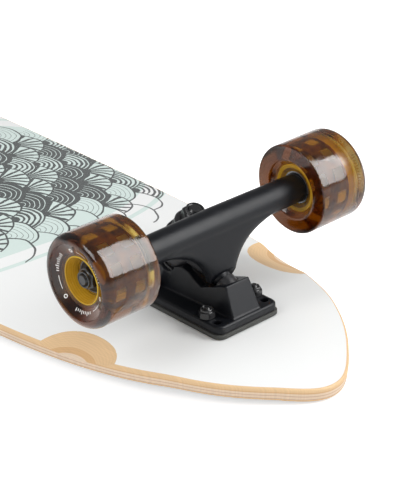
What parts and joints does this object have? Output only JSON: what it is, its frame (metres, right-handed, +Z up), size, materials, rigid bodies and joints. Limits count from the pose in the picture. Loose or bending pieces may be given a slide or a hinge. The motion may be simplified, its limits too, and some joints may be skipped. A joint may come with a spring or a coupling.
{
  "type": "cruiser skateboard",
  "caption": "Wooden cruiser skateboard lying upside down, with standard kingpin trucks that steer, risers and soft amber wheels that spin.",
  "frame": {"origin": "middle of the footprint on the floor, where the nose and tail tips rest", "axes": "+Z up with the board upside down, +X towards the nose, and the rider's left side towards -Y"},
  "size_m": [0.7334, 0.2232, 0.1308],
  "materials": {
    "maple": "maple plies, white and teal paint on the underside",
    "grip_paper": "gritty black grip tape",
    "riser_rubber": "matte black",
    "black_casting": "satin black coat on cast aluminium",
    "black_urethane": "satin",
    "amber_core": "amber, translucent",
    "amber_urethane": "smoky amber, translucent, polished",
    "bright_steel": "ground",
    "black_steel": "black oxide"
  },
  "bodies": {
    "root": {"deck": "maple", "front_baseplate": "black_casting", "front_bolt_inner_left": "black_steel", "front_bolt_inner_right": "black_steel", "front_bolt_nut_inner_left": "black_steel", "front_bolt_nut_inner_right": "black_steel", "front_bolt_nut_outer_left": "black_steel", "front_bolt_nut_outer_right": "black_steel", "front_bolt_outer_left": "black_steel", "front_bolt_outer_right": "black_steel", "front_bottom_bushing": "black_urethane", "front_bottom_washer": "black_steel", "front_kingpin": "black_steel", "front_kingpin_nut": "black_steel", "front_pivot_cup": "black_urethane", "front_riser_pad": "riser_rubber", "front_top_bushing": "black_urethane", "front_top_washer": "black_steel", "grip_tape": "grip_paper", "rear_baseplate": "black_casting", "rear_bolt_inner_left": "black_steel", "rear_bolt_inner_right": "black_steel", "rear_bolt_nut_inner_left": "black_steel", "rear_bolt_nut_inner_right": "black_steel", "rear_bolt_nut_outer_left": "black_steel", "rear_bolt_nut_outer_right": "black_steel", "rear_bolt_outer_left": "black_steel", "rear_bolt_outer_right": "black_steel", "rear_bottom_bushing": "black_urethane", "rear_bottom_washer": "black_steel", "rear_kingpin": "black_steel", "rear_kingpin_nut": "black_steel", "rear_pivot_cup": "black_urethane", "rear_riser_pad": "riser_rubber", "rear_top_bushing": "black_urethane", "rear_top_washer": "black_steel"},
    "front_hanger_body": {"front_hanger": "black_casting", "front_axle": "bright_steel", "front_left_axle_nut": "black_steel", "front_right_axle_nut": "black_steel"},
    "front_left_wheel_body": {"front_left_wheel": "amber_urethane", "front_left_wheel_core": "amber_core", "front_left_inner_bearing": "bright_steel", "front_left_outer_bearing": "bright_steel"},
    "front_right_wheel_body": {"front_right_wheel": "amber_urethane", "front_right_wheel_core": "amber_core", "front_right_inner_bearing": "bright_steel", "front_right_outer_bearing": "bright_steel"},
    "rear_hanger_body": {"rear_hanger": "black_casting", "rear_axle": "bright_steel", "rear_left_axle_nut": "black_steel", "rear_right_axle_nut": "black_steel"},
    "rear_left_wheel_body": {"rear_left_wheel": "amber_urethane", "rear_left_wheel_core": "amber_core", "rear_left_inner_bearing": "bright_steel", "rear_left_outer_bearing": "bright_steel"},
    "rear_right_wheel_body": {"rear_right_wheel": "amber_urethane", "rear_right_wheel_core": "amber_core", "rear_right_inner_bearing": "bright_steel", "rear_right_outer_bearing": "bright_steel"}
  },
  "joints": [
    {"name": "front_steer", "type": "hinge", "parent": "root", "child": "front_hanger_body", "pos_m": [0.23625, 0, 0.06686], "axis": [0.8671, 0, -0.4981], "range_deg": [-15, 15], "stiffness_Nm_per_rad": 30, "deforming": ["front_bottom_bushing", "front_top_bushing"]},
    {"name": "front_left_spin", "type": "hinge", "parent": "front_hanger_body", "child": "front_left_wheel_body", "pos_m": [0.26111, 0, 0.0849], "axis": [0, 1, 0], "continuous": true},
    {"name": "front_right_spin", "type": "hinge", "parent": "front_hanger_body", "child": "front_right_wheel_body", "pos_m": [0.26111, 0, 0.0849], "axis": [0, 1, 0], "continuous": true},
    {"name": "rear_steer", "type": "hinge", "parent": "root", "child": "rear_hanger_body", "pos_m": [-0.15937, 0, 0.08062], "axis": [-0.8996, 0, -0.4367], "range_deg": [-15, 15], "stiffness_Nm_per_rad": 30, "deforming": ["rear_bottom_bushing", "rear_top_bushing"]},
    {"name": "rear_left_spin", "type": "hinge", "parent": "rear_hanger_body", "child": "rear_left_wheel_body", "pos_m": [-0.18292, 0, 0.10034], "axis": [0, 1, 0], "continuous": true},
    {"name": "rear_right_spin", "type": "hinge", "parent": "rear_hanger_body", "child": "rear_right_wheel_body", "pos_m": [-0.18292, 0, 0.10034], "axis": [0, 1, 0], "continuous": true}
  ]
}
